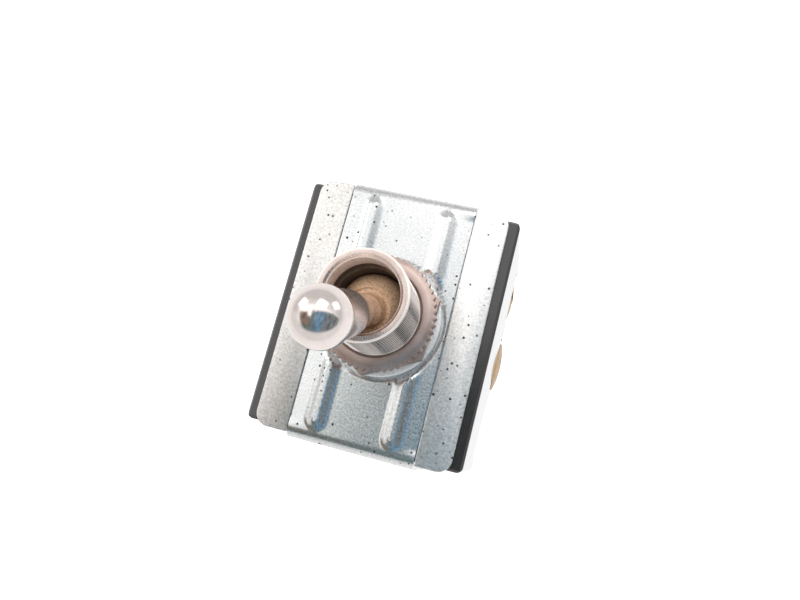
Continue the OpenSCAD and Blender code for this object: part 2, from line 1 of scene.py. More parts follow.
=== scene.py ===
"""Looks of a heavy-duty panel toggle switch.

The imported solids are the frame. The sheet-metal parts, the threaded barrel, the washer, the nuts and the
lever are drawn anew as smooth surfaces in their places, and every other solid keeps its own mesh and gets
its finish. Lengths inside the classes are millimetres, counted from the top of the cover plate.
"""

from __future__ import annotations

import logging
import math
from dataclasses import dataclass
from enum import Enum, IntEnum
from math import pi, radians
from typing import Any

import bmesh
import bpy
import numpy as np
from mathutils import Matrix, Vector

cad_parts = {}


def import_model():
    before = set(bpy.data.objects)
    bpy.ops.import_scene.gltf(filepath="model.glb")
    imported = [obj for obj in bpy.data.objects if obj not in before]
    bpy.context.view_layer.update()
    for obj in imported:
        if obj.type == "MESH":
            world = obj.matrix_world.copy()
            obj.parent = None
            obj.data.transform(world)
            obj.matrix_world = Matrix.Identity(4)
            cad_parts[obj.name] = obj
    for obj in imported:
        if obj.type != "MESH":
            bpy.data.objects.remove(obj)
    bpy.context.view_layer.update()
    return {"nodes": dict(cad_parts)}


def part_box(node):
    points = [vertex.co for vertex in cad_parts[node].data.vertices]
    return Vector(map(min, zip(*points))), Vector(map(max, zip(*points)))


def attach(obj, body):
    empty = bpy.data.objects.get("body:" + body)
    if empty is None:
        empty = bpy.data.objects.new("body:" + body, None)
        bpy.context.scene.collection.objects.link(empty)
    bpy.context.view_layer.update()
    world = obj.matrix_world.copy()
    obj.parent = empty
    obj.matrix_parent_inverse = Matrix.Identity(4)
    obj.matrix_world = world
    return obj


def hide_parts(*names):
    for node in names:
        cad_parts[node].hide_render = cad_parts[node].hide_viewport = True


Array = np.ndarray
Piece = bpy.types.Object
Tree = bpy.types.NodeTree
Socket = bpy.types.NodeSocket
Outputs = bpy.types.NodeOutputs
Finish = tuple[Socket, Any, Any]

LOG = logging.getLogger("toggle_switch")
MM = 0.001
TINY = 1e-9
FULL_TURN = 2.0 * pi
QUARTER_TURN = pi / 2.0
SIDES = ("left", "right")
ROWS = ("front", "centre", "back")


# Meshes -------------------------------------------------------------------------------------------


def smooth_step(x: Array) -> Array:
    """Rises from 0 to 1 as x goes from 0 to 1, level at both ends: 3x^2 - 2x^3."""
    t = np.clip(x, 0.0, 1.0)
    return t * t * (3.0 - 2.0 * t)


def fillet(rows: list[list[float]], closed: bool = True, steps: int = 5) -> Array:
    """Rounds the corners of a plane polyline.

    Each corner gives way to the arc that touches both of its edges: the arc's centre lies on the line that
    halves the corner, at radius / sin(half the corner's angle) from it. An arc takes just under half of an
    edge at most.

    Args:
        rows: one row for each corner: its two coordinates and its radius, which is 0 for a sharp one.
        closed: whether the last corner joins the first.
        steps: points on each arc.

    Returns:
        The rounded polyline, one row per point.
    """
    points, radii = np.array(rows)[:, :2], np.array(rows)[:, 2]
    before = np.roll(points, 1, axis=0) - points
    after = np.roll(points, -1, axis=0) - points
    length_before = np.linalg.norm(before, axis=1)
    length_after = np.linalg.norm(after, axis=1)
    u = before / length_before[:, None]
    v = after / length_after[:, None]
    half = np.arccos(np.clip((u * v).sum(1), -1.0, 1.0)) / 2.0
    room = 0.49 * np.minimum(length_before, length_after)
    radius = np.minimum(radii, room * np.tan(half))
    if not closed:
        radius[[0, -1]] = 0.0
    reach = radius / np.tan(half)
    middle = (u + v) / np.maximum(np.linalg.norm(u + v, axis=1), TINY)[:, None]
    centre = points + middle * (radius / np.sin(half))[:, None]
    start = points + u * reach[:, None] - centre
    end = points + v * reach[:, None] - centre
    first = np.arctan2(start[:, 1], start[:, 0])
    turn = np.arctan2(end[:, 1], end[:, 0]) - first
    turn = (turn + pi) % FULL_TURN - pi
    angle = first[:, None] + turn[:, None] * np.linspace(0.0, 1.0, steps)[None, :]
    arc = np.stack([np.cos(angle), np.sin(angle)], axis=2) * radius[:, None, None]
    line = (centre[:, None, :] + arc).reshape(-1, 2)
    keep = np.linalg.norm(line - np.roll(line, 1, axis=0), axis=1) > 1e-6
    keep[0] = True
    return line[keep]


def grid_faces(rows: int, columns: int, wrap_rows: bool = False, wrap_columns: bool = False) -> Array:
    """Corner numbers of the quads between the points of a grid whose rows are stored one after another.

    Args:
        rows: number of rows of points.
        columns: number of points in a row.
        wrap_rows: whether the last row joins the first.
        wrap_columns: whether a row's last point joins its first.

    Returns:
        An array with four corner numbers for each quad.
    """
    i = np.arange(rows if wrap_rows else rows - 1)[:, None]
    j = np.arange(columns if wrap_columns else columns - 1)[None, :]
    i2, j2 = (i + 1) % rows, (j + 1) % columns
    quads = [i * columns + j, i2 * columns + j, i2 * columns + j2, i * columns + j2]
    return np.stack(quads, axis=-1).reshape(-1, 4)


def mesh_object(name: str, points: Array, faces: list[list[int]], sharp_degrees: float = 32.0) -> Piece:
    """Makes a piece at the origin from points in millimetres, with its doubles merged and faces outward.

    Args:
        name: the piece's name.
        points: one row of X, Y and Z for each point, in the piece's frame.
        faces: corner numbers of each face.
        sharp_degrees: edges that bend more than this stay crisp.

    Returns:
        The new object.
    """
    mesh = bpy.data.meshes.new(name)
    mesh.from_pydata((points * MM).tolist(), [], faces)
    work = bmesh.new()
    work.from_mesh(mesh)
    bmesh.ops.remove_doubles(work, verts=work.verts, dist=1e-8)
    bmesh.ops.dissolve_degenerate(work, dist=TINY, edges=work.edges)
    bmesh.ops.recalc_face_normals(work, faces=work.faces)
    work.to_mesh(mesh)
    work.free()
    mesh.shade_smooth()
    mesh.set_sharp_from_angle(angle=radians(sharp_degrees))
    piece = bpy.data.objects.new(name, mesh)
    bpy.context.scene.collection.objects.link(piece)
    return piece


def bake_modifiers(piece: Piece, sharp_degrees: float) -> None:
    """Replaces a piece's mesh with what its modifiers make of it, and removes them.

    Args:
        piece: the piece.
        sharp_degrees: edges that bend more than this stay crisp.
    """
    bpy.context.view_layer.update()
    made = bpy.data.meshes.new_from_object(piece.evaluated_get(bpy.context.evaluated_depsgraph_get()))
    piece.modifiers.clear()
    piece.data = made
    made.shade_smooth()
    made.set_sharp_from_angle(angle=radians(sharp_degrees))


def turned(
    name: str, radius: Array, height: Array, angle: Array, closed: bool = True, sharp_degrees: float = 32.0
) -> Piece:
    """A piece swept round the Z axis: each point is (radius cos(angle), radius sin(angle), height).

    Args:
        name: the piece's name.
        radius: radii of the outline's points, or one such row for each angle.
        height: their heights, in either layout.
        angle: the angles, in radians, without the closing one.
        closed: whether the outline joins itself, as for a ring.
        sharp_degrees: edges that bend more than this stay crisp.

    Returns:
        The new object.
    """
    radius = np.broadcast_to(radius, (len(angle), radius.shape[-1]))
    level = np.broadcast_to(height, radius.shape)
    points = np.stack([radius * np.cos(angle)[:, None], radius * np.sin(angle)[:, None], level], axis=2)
    faces = grid_faces(*radius.shape, True, closed).tolist()
    return mesh_object(name, points.reshape(-1, 3), faces, sharp_degrees)


def whole_turn(count: int, start: float = 0.0) -> Array:
    """Evenly spaced angles round a circle, in radians."""
    return start + np.arange(count) * (FULL_TURN / count)


# Finishes -----------------------------------------------------------------------------------------


def linear(code: str) -> tuple[float, float, float, float]:
    """Turns an sRGB colour into linear values.

    Args:
        code: the colour as hex, such as "#C8D0D6".

    Returns:
        Linear red, green and blue, and an alpha of 1.
    """
    channels = np.array([int(code[i : i + 2], 16) for i in (1, 3, 5)]) / 255.0
    value = np.where(channels <= 0.04045, channels / 12.92, ((channels + 0.055) / 1.055) ** 2.4)
    return (*value.tolist(), 1.0)


def add(tree: Tree, kind: str, inputs: dict[Any, Any] | None = None, **settings: Any) -> Outputs:
    """Adds a node, with its settings, and with each input set to a value or linked to a socket.

    By number, a Mix node takes its share at 0, numbers at 2 and 3 and colours at 6 and 7, and gives a number
    at 0 and a colour at 2. A MapRange node takes the value's limits at 1 and 2 and the result's at 3 and 4.

    Args:
        tree: the node tree.
        kind: the node's type, without the ShaderNode that starts it.
        inputs: input name or number, and its value or the socket that feeds it.
        settings: the node's own properties.

    Returns:
        The new node's outputs.
    """
    node = tree.nodes.new(f"ShaderNode{kind}")
    for key, value in settings.items():
        setattr(node, key, value)
    for key, value in (inputs or {}).items():
        if isinstance(value, Socket):
            tree.links.new(value, node.inputs[key])
        else:
            node.inputs[key].default_value = value
    return node.outputs


def per_metre(size_mm: float) -> float:
    """A texture's scale for a feature of a size in millimetres, with coordinates in metres."""
    return 1000.0 / size_mm


def empty_tree(owner: bpy.types.Material | bpy.types.World) -> Tree:
    """Empties the node tree of a material or a world.

    Args:
        owner: the material or the world.

    Returns:
        Its node tree, without nodes.
    """
    owner.use_nodes = True
    owner.node_tree.nodes.clear()
    return owner.node_tree


class Turning(Enum):
    """Which way a metal's fine tool marks run."""

    NONE = "none"
    ROUND_Z = "round the bushing's axis"
    ROUND_LEVER = "round the lever's axis"


@dataclass(frozen=True)
class Region:
    """A part of a turned piece with its own finish, which may be painted light or shade, between two
    distances from its axis and two heights.

    Lengths are millimetres. Heights run along the axis from the frame's origin, or from the lever's pivot.
    `speckle` is how dark its fine specks are, and `blur` the width over which the region fades out.
    """

    colour: str
    stain: str
    roughness: float
    reach: tuple[float, float] = (-1.0, 99.0)
    height: tuple[float, float] = (-99.0, 99.0)
    metallic: float = 1.0
    speckle: float = 0.0
    blur: float = 0.12

    def blend(
        self, tree: Tree, place: Socket, measures: tuple[Socket, Socket], cloud: Socket, finish: Finish
    ) -> Finish:
        """Mixes the region into the finish of the rest: its share is the product of a ramp at each limit.

        Args:
            tree: the material's node tree.
            place: object coordinates.
            measures: distance from the axis and height along it, in metres.
            cloud: the cloudy pattern's value.
            finish: colour, roughness and share of metal elsewhere.

        Returns:
            The mixed colour, roughness and share of metal.
        """
        inside: Any = 1.0
        for measure, (low, high) in zip(measures, (self.reach, self.height)):
            for limit, sign in ((low, 0.5), (high, -0.5)):
                ends = {1: (limit - sign * self.blur) * MM, 2: (limit + sign * self.blur) * MM}
                ramp = add(tree, "MapRange", {"Value": measure, **ends})[0]
                inside = add(tree, "Math", {0: ramp, 1: inside}, operation="MULTIPLY")[0]
        colours = {6: linear(self.colour), 7: linear(self.stain)}
        own = add(tree, "Mix", {0: cloud, **colours}, data_type="RGBA")[2]
        # Specks a quarter of a millimetre across, as drawn; the real grit is finer
        grit = add(tree, "TexNoise", {"Vector": place, "Scale": per_metre(0.28), "Detail": 1.0})["Fac"]
        specks = add(tree, "MapRange", {"Value": grit, 1: 0.45, 2: 0.6, 3: 1.0, 4: 1.0 - self.speckle})[0]
        own = add(tree, "Mix", {0: 1.0, 6: own, 7: specks}, data_type="RGBA", blend_type="MULTIPLY")[2]
        return (
            add(tree, "Mix", {0: inside, 6: finish[0], 7: own}, data_type="RGBA")[2],
            add(tree, "Mix", {0: inside, 2: finish[1], 3: self.roughness})[0],
            add(tree, "Mix", {0: inside, 2: finish[2], 3: self.metallic})[0],
        )


@dataclass(frozen=True)
class Metal:
    """A bare or plated metal with cloudy colour, fine grain, small pits and tool marks.

    Colours are sRGB hex. Sizes are millimetres: `cloud` of the stained areas, `grain` of the surface's
    crystals, `pit` of the spacing between pits and `mark` of the tool marks.
    """

    name: str
    colour: str
    stain: str
    rough_low: float
    rough_high: float
    cloud: float = 6.0
    grain: float = 0.25
    grain_depth: float = 0.006
    grain_contrast: float = 0.15
    pit: float = 0.0
    pit_size: float = 0.12
    pit_share: float = 0.5
    pit_colour: str = "#2E2B2A"
    turning: Turning = Turning.NONE
    turn_depth: float = 0.004
    mark: float = 0.22
    edge_mm: float = 0.0
    regions: tuple[Region, ...] = ()

    def pits(self, tree: Tree, place: Socket, cloud: Socket) -> Socket:
        """Where there are pits: at the centres of some cells, of many sizes, and more where it is clouded.

        Args:
            tree: the material's node tree.
            place: object coordinates.
            cloud: the cloudy pattern's value.

        Returns:
            1 within a pit and 0 outside, with soft rims.
        """
        cells = add(tree, "TexVoronoi", {"Vector": place, "Scale": per_metre(self.pit)})
        # Each cell has two numbers of its own: whether it holds a pit, and how large
        lot = add(tree, "SeparateColor", {0: cells["Color"]})
        span = add(tree, "MapRange", {"Value": lot[1], 3: 0.4, 4: 1.35})[0]
        apart = add(tree, "Math", {0: cells["Distance"], 1: span}, operation="DIVIDE")[0]
        rim = self.pit_size / self.pit
        spot = add(tree, "MapRange", {"Value": apart, 1: rim, 2: 0.4 * rim})[0]
        shares = {3: 0.4 * self.pit_share, 4: 1.6 * self.pit_share}
        crowd = add(tree, "MapRange", {"Value": cloud, 1: 0.4, 2: 0.62, **shares})[0]
        chosen = add(tree, "Math", {0: lot[0], 1: crowd}, operation="LESS_THAN")[0]
        return add(tree, "Math", {0: spot, 1: chosen}, operation="MULTIPLY")[0]

    def build(self, frames: dict[Turning, tuple[Vector, float]]) -> bpy.types.Material:
        """Makes the material.

        The stain shows where the clouds are dense. The grain darkens the colour, roughens the surface and
        raises it. Tool marks are noise over the distance from the turning axis and the height along it.

        Args:
            frames: for each way of turning, a point on the axis in metres and its tilt about X in radians.

        Returns:
            The material.
        """
        material = bpy.data.materials.new(self.name)
        tree = empty_tree(material)
        place = add(tree, "TexCoord")["Object"]
        clouds = {"Vector": place, "Scale": per_metre(self.cloud), "Detail": 4.0, "Roughness": 0.6}
        cloud = add(tree, "TexNoise", clouds)["Fac"]
        crystals = {"Vector": place, "Scale": per_metre(self.grain), "Detail": 2.0, "Roughness": 0.7}
        grain = add(tree, "TexNoise", crystals)["Fac"]
        dense = add(tree, "MapRange", {"Value": cloud, 1: 0.35, 2: 0.68}, interpolation_type="SMOOTHSTEP")[0]
        colours = {6: linear(self.colour), 7: linear(self.stain)}
        base = add(tree, "Mix", {0: dense, **colours}, data_type="RGBA")[2]
        limits = {1: 0.3, 2: 0.7, 3: 1.0 - self.grain_contrast, 4: 1.0}
        specks = add(tree, "MapRange", {"Value": grain, **limits})[0]
        base = add(tree, "Mix", {0: 1.0, 6: base, 7: specks}, data_type="RGBA", blend_type="MULTIPLY")[2]
        limits = {1: 0.25, 2: 0.75, 3: self.rough_low, 4: self.rough_high}
        rough = add(tree, "MapRange", {"Value": grain, **limits})[0]
        if self.pit:
            pits = self.pits(tree, place, cloud)
            base = add(tree, "Mix", {0: pits, 6: base, 7: linear(self.pit_colour)}, data_type="RGBA")[2]
            rough = add(tree, "Math", {0: rough, 1: pits}, operation="MAXIMUM")[0]
        relief: dict[Any, Any] = {"Height": grain, "Distance": self.grain_depth * MM, "Strength": 1.0}
        if self.edge_mm:
            relief["Normal"] = add(tree, "Bevel", {"Radius": self.edge_mm * MM}, samples=6)[0]
        bump = add(tree, "Bump", relief)[0]
        finish: Finish = (base, rough, 1.0)
        if self.turning is not Turning.NONE:
            origin, tilt = frames[self.turning]
            axis = {"Vector": place, "Location": origin, "Rotation": (tilt, 0.0, 0.0)}
            parts = add(tree, "SeparateXYZ", {0: add(tree, "Mapping", axis, vector_type="TEXTURE")[0]})
            flat = add(tree, "CombineXYZ", {0: parts[0], 1: parts[1]})[0]
            reach = add(tree, "VectorMath", {0: flat}, operation="LENGTH")["Value"]
            rings = add(tree, "CombineXYZ", {0: reach, 1: parts[2]})[0]
            tooling = {"Vector": rings, "Scale": per_metre(self.mark), "Detail": 3.0, "Roughness": 0.7}
            marks = add(tree, "TexNoise", tooling)["Fac"]
            relief = {"Height": marks, "Distance": self.turn_depth * MM, "Strength": 1.0, "Normal": bump}
            bump = add(tree, "Bump", relief)[0]
            for region in self.regions:
                finish = region.blend(tree, place, (reach, parts[2]), cloud, finish)
        inputs = {"Base Color": finish[0], "Roughness": finish[1], "Metallic": finish[2], "Normal": bump}
        add(tree, "OutputMaterial", {"Surface": add(tree, "BsdfPrincipled", inputs)[0]})
        return material


@dataclass(frozen=True)
class Moulding:
    """A moulded plastic with a faint flow pattern and a fine skin texture. Sizes are millimetres."""

    name: str
    colour: str
    flow: str
    roughness: float
    ior: float = 1.5
    cloud: float = 5.0
    skin: float = 0.35
    skin_depth: float = 0.01
    edge_mm: float = 0.0
    gloss: float = 0.0

    def build(self) -> bpy.types.Material:
        """Makes the material: the flow pattern tints it, and the skin roughens and raises it.

        Returns:
            The material.
        """
        material = bpy.data.materials.new(self.name)
        tree = empty_tree(material)
        place = add(tree, "TexCoord")["Object"]
        flow = {"Scale": per_metre(self.cloud), "Detail": 5.0, "Roughness": 0.65, "Distortion": 0.6}
        cloud = add(tree, "TexNoise", {"Vector": place, **flow})["Fac"]
        colours = {6: linear(self.colour), 7: linear(self.flow)}
        base = add(tree, "Mix", {0: cloud, **colours}, data_type="RGBA")[2]
        skin = add(tree, "TexNoise", {"Vector": place, "Scale": per_metre(self.skin), "Detail": 2.0})["Fac"]
        limits = {1: 0.3, 2: 0.7, 3: self.roughness * 0.8, 4: self.roughness * 1.25}
        rough = add(tree, "MapRange", {"Value": skin, **limits})[0]
        relief = {"Height": skin, "Distance": self.skin_depth * MM, "Strength": 1.0}
        relief["Normal"] = add(tree, "Bevel", {"Radius": self.edge_mm * MM}, samples=6)[0]
        surface = {"Base Color": base, "Roughness": rough, "IOR": self.ior, "Coat Weight": self.gloss}
        shader = add(tree, "BsdfPrincipled", {**surface, "Normal": add(tree, "Bump", relief)[0]})
        add(tree, "OutputMaterial", {"Surface": shader[0]})
        return material


# Bright zinc plate on cold-rolled steel: a pale, smooth sheen, with small dark pits.
SADDLE_ZINC = Metal(
    "bright_zinc_plate", "#F0F0EF", "#E4E6E5", 0.16, 0.27, cloud=14.0, grain=0.3, grain_depth=0.004,
    grain_contrast=0.28, pit=1.05, pit_size=0.2, pit_share=0.6,
)
# The same plate over coarser steel: a warmer grey, with a sandy grain and more pits.
COVER_ZINC = Metal(
    "grained_zinc_plate", "#FDFAF8", "#F6F3ED", 0.32, 0.48, cloud=14.0, grain=0.34, grain_depth=0.008,
    grain_contrast=0.36, pit=0.95, pit_size=0.19, pit_share=0.65,
)
# Nickel plate on turned brass, worn a little pink. Outside it is paler and half metallic, as painted light on
# the crests and rim; painted shade darkens the flanks of the thread; inside the bore it is duller, its upper
# wall pale as painted light, and painted shade darkens it brown from the relief down.
BARREL_NICKEL = Metal(
    "nickel_plated_brass", "#E2D1C9", "#D5C0B6", 0.2, 0.32, cloud=3.0, grain=0.15, grain_depth=0.001,
    grain_contrast=0.1, turning=Turning.ROUND_Z, turn_depth=0.002,
    regions=(
        # Painted light: the crests, the rim and the outside paler and half metallic
        Region("#F8F0EC", "#EDE2DB", 0.32, reach=(5.7, 99.0), metallic=0.5),
        # Painted shade: the flanks of the thread darkened below the crests
        Region("#5A5451", "#3B3532", 0.4, reach=(5.4, 5.88), height=(35.0, 44.97), metallic=0.8, blur=0.05),
        # Painted light: the upper bore's wall pale and nearly matt, so that it stands bright
        Region("#FAEAE0", "#DFC6B9", 0.38, reach=(-1.0, 4.86), metallic=0.1, speckle=0.2),
        # Painted shade: dark brown in the relief and down the bore below it
        Region("#75614F", "#564437", 0.4, (-1.0, 5.12), height=(-99.0, 42.12), metallic=0.2, speckle=0.3),
    ),
)
# The same plate on machined brass nuts, duller from the wrench.
NUT_NICKEL = Metal(
    "nickel_plated_nut", "#D3BDB3", "#C4ABA0", 0.36, 0.5, cloud=2.5, grain=0.18, grain_depth=0.001,
    grain_contrast=0.12, turning=Turning.ROUND_Z, turn_depth=0.002,
)
# Polished nickel, paler and a little matt down the neck, as painted light; the pivot ball at its foot is bare
# turned brass, browned with grease.
LEVER_NICKEL = Metal(
    "polished_nickel_lever", "#F1E7E3", "#E7DCD7", 0.12, 0.2, cloud=4.0, grain=0.3, grain_depth=0.0004,
    grain_contrast=0.05, turning=Turning.ROUND_LEVER, turn_depth=0.0008,
    regions=(
        # Painted light: the neck paler and a little matt, standing in for bright reflections
        Region("#F8EFEA", "#ECDED7", 0.14, height=(4.4, 19.5), metallic=0.85, blur=1.0),
        Region("#F2D0AC", "#D2A884", 0.32, height=(-99.0, 4.4), metallic=0.1, speckle=0.3),
    ),
)
# Dull zinc plate on a stamped steel ring.
WASHER_ZINC = Metal(
    "zinc_plated_washer", "#ECEEEE", "#DDE1E2", 0.25, 0.38, cloud=2.0, grain=0.2, grain_depth=0.003,
    grain_contrast=0.1, turning=Turning.ROUND_Z, turn_depth=0.001,
    regions=(Region("#F2F3F3", "#E4E7E8", 0.4, metallic=0.5, speckle=0.15),),
)
# Rolled and turned brass, a little browned, with few pits.
BRASS = Metal(
    "rolled_brass", "#BF9863", "#94703F", 0.22, 0.36, cloud=3.0, grain=0.2, grain_depth=0.003, edge_mm=0.12,
    pit=1.5, pit_size=0.08, pit_share=0.2, pit_colour="#5A4024",
)
# Silver faces of the contacts, drawn steel wire and a ground steel pin, all inside the housing.
SILVER = Metal("contact_silver", "#E4E2DC", "#CFCBC0", 0.25, 0.4, cloud=1.5, grain=0.15, edge_mm=0.1)
SPRING_STEEL = Metal("drawn_steel_wire", "#A9ABAE", "#8E9094", 0.22, 0.35, cloud=1.5, grain=0.12)
PIN_STEEL = Metal("ground_steel_pin", "#B4B5B8", "#9C9DA0", 0.15, 0.25, cloud=2.0, grain=0.15, edge_mm=0.1)
METALS = (
    SADDLE_ZINC, COVER_ZINC, BARREL_NICKEL, NUT_NICKEL, LEVER_NICKEL, WASHER_ZINC, BRASS, SILVER,
    SPRING_STEEL, PIN_STEEL,
)
# Black phenolic moulding compound: glossy skin, faintly brown in the light.
PHENOLIC = Moulding(
    "black_phenolic", "#120F0E", "#272120", 0.18, ior=1.45, cloud=2.0, skin=0.5, skin_depth=0.004,
    edge_mm=0.18, gloss=1.0,
)
# Natural nylon for the sliding parts.
NYLON = Moulding("natural_nylon", "#DDD5BE", "#CFC6AB", 0.42, ior=1.53, cloud=3.0, edge_mm=0.15)


def dress(piece: Piece, material: bpy.types.Material) -> None:
    """Gives a piece one material."""
    piece.data.materials.clear()
    piece.data.materials.append(material)


def settle(piece: Piece, material: bpy.types.Material, body: str, node: str) -> None:
    """Dresses a new piece and puts it in place of a CAD node.

    Args:
        piece: the new piece.
        material: its only material.
        body: the moving body that carries it.
        node: the CAD node that it stands for.
    """
    dress(piece, material)
    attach(piece, body)
    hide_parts(node)
    LOG.info("%s on %s stands for %s", piece.name, body, node)


# Sheet metal --------------------------------------------------------------------------------------


@dataclass
class Saddle:
    """The folded strip over the top and down both ends, with four pressed ribs."""

    plate_z: float
    width: float = 18.3
    thickness: float = 0.9
    half_length: float = 19.1
    bend_radius: float = 1.6
    edge: float = 0.13
    rib_x: float = 5.5
    rib_half_width: float = 1.75
    rib_height: float = 0.55
    rib_end_y: float = 15.9
    rib_overlap: float = 0.1
    rib_fade: float = 0.5
    rib_swell: float = 1.12
    strip_x: float = 7.0
    strip_fall: float = 0.05
    strip_fade: float = 1.2
    pad_radius: float = 8.9
    pad_drop: float = 0.07
    pad_edge: float = 0.2
    hole_radius: float = 5.68
    hole_inner: float = 5.4
    hole_outer: float = 8.4
    leg_bottom: float = -24.0
    tab_radius: float = 1.1
    tab_half_width: float = 3.5
    tab_end_y: float = 14.8
    full_width_bottom: float = -22.0
    slack: float = 0.01

    def path(self) -> tuple[Array, Array]:
        """The outer face's line in the YZ plane, from the top's centre to the back tab's end.

        Straight runs are joined by quarter circles, sampled evenly along each.

        Returns:
            Points (Y, Z) and outward unit normals, one row each.
        """
        top_end = self.half_length - self.bend_radius
        tab_start = self.half_length - self.tab_radius
        low = self.leg_bottom + self.tab_radius
        top = np.concatenate([
            np.linspace(0.0, self.hole_inner, 25),
            np.linspace(self.hole_inner, top_end, 61)[1:],
        ])
        leg = np.concatenate([
            np.linspace(-self.bend_radius, self.full_width_bottom, 21)[1:],
            np.linspace(self.full_width_bottom, low, 3)[1:],
        ])
        tab = np.linspace(tab_start, self.tab_end_y, 6)[1:]
        bend = np.linspace(0.0, QUARTER_TURN, 9)[1:]
        upper = np.stack([np.sin(bend), np.cos(bend)], 1)
        lower = np.stack([np.cos(bend), -np.sin(bend)], 1)
        points = [
            np.stack([top, np.zeros_like(top)], 1),
            np.array([top_end, -self.bend_radius]) + self.bend_radius * upper,
            np.stack([np.full_like(leg, self.half_length), leg], 1),
            np.array([tab_start, low]) + self.tab_radius * lower,
            np.stack([tab, np.full_like(tab, self.leg_bottom)], 1),
        ]
        normals = [
            np.tile([0.0, 1.0], (len(top), 1)),
            upper,
            np.tile([1.0, 0.0], (len(leg), 1)),
            lower,
            np.tile([0.0, -1.0], (len(tab), 1)),
        ]
        return np.concatenate(points), np.concatenate(normals)

    def rise(self, x: Array, y: Array) -> Array:
        """Height of the pressed top over its plane.

        Across each rib the height follows half a cosine wave of the distance from the rib's centre line,
        swollen a little and cut flat at the top; this makes its end round. It fades out over the pad, which
        lies a little lower with a soft edge. Outside the ribs the strip falls away in proportion to the
        distance, but not at the bends.

        Args:
            x: X of each point of the grid.
            y: Y of each point.

        Returns:
            The height of each point.
        """
        reach = np.hypot(x, y)
        past = np.maximum(np.abs(y) - self.rib_end_y, 0.0)
        apart = np.hypot(np.abs(x) - self.rib_x, past) / self.rib_half_width
        wave = 0.5 + 0.5 * np.cos(pi * np.clip(apart, 0.0, 1.0))
        from_pad = reach - self.pad_radius
        shown = smooth_step((from_pad + self.rib_overlap) / self.rib_fade)
        rib = self.rib_height * np.minimum(wave * self.rib_swell, 1.0) * shown
        fall = self.strip_fall * np.maximum(np.abs(x) - self.strip_x, 0.0)
        fall = fall * smooth_step((self.half_length - self.bend_radius - np.abs(y)) / self.strip_fade)
        return rib - fall - self.pad_drop * (1.0 - smooth_step(from_pad / self.pad_edge + 1.0))

    def build(self) -> Piece:
        """Makes the outer face as one grid, cuts hole and tabs, and gives the sheet its thickness.

        Returns:
            The saddle.
        """
        line, normal = self.path()
        line = np.concatenate([line[:0:-1] * [-1.0, 1.0], line])
        normal = np.concatenate([normal[:0:-1] * [-1.0, 1.0], normal])
        across = np.concatenate([
            np.linspace(0.0, self.tab_half_width, 13),
            np.linspace(self.tab_half_width, self.hole_inner, 14)[1:],
            np.linspace(self.hole_inner, self.width / 2.0, 25)[1:],
        ])
        across = np.concatenate([-across[:0:-1], across])
        x, row = np.meshgrid(across, np.arange(len(line)))
        y, z = line[row, 0], line[row, 1]
        on_top = (normal[row, 1] > 0.999) & (np.abs(z) < TINY)
        # Round the hole, squares of points are eased into circles
        square = np.maximum(np.abs(x), np.abs(y))
        reach = np.maximum(np.hypot(x, y), TINY)
        share = np.clip((square - self.hole_inner) / (self.hole_outer - self.hole_inner), 0.0, 1.0)
        ring = (1.0 - share) * self.hole_radius + share * reach
        eased = np.where(on_top & (square < self.hole_outer), ring, reach)
        x, y = x * eased / reach, np.where(on_top, y * eased / reach, y)
        lift = np.where(on_top, self.rise(x, y), 0.0)
        points = np.stack([x, y + normal[row, 0] * lift, z + normal[row, 1] * lift + self.plate_z], 2)
        faces = grid_faces(*x.shape)
        in_hole = on_top.ravel()[faces].all(1) & (square.ravel()[faces].mean(1) < self.hole_inner)
        below = z.ravel()[faces].max(1) < self.full_width_bottom + self.slack
        outside = np.abs(x).ravel()[faces].min(1) > self.tab_half_width - self.slack
        keep = ~in_hole & ~(below & outside)
        piece = mesh_object("saddle_sheet", points.reshape(-1, 3), faces[keep].tolist())
        self.face_outward(piece.data)
        shell = piece.modifiers.new("sheet", "SOLIDIFY")
        shell.thickness = self.thickness * MM
        shell.offset = -1.0
        edge = piece.modifiers.new("edge", "BEVEL")
        edge.width = self.edge * MM
        edge.segments = 2
        edge.limit_method = "ANGLE"
        edge.angle_limit = radians(50.0)
        bake_modifiers(piece, 45.0)
        return piece

    def face_outward(self, mesh: bpy.types.Mesh) -> None:
        """Drops points without faces, and turns the face to look up and out before it gets its thickness.

        Args:
            mesh: the outer face's mesh.
        """
        work = bmesh.new()
        work.from_mesh(mesh)
        bmesh.ops.delete(work, geom=[v for v in work.verts if not v.link_faces], context="VERTS")
        floor = (self.plate_z - 1.0) * MM
        top = [f for f in work.faces if abs(f.normal.z) > 0.9 and f.calc_center_median().z > floor]
        if sum(f.normal.z * f.calc_area() for f in top) < 0.0:
            bmesh.ops.reverse_faces(work, faces=work.faces)
        work.to_mesh(mesh)
        work.free()


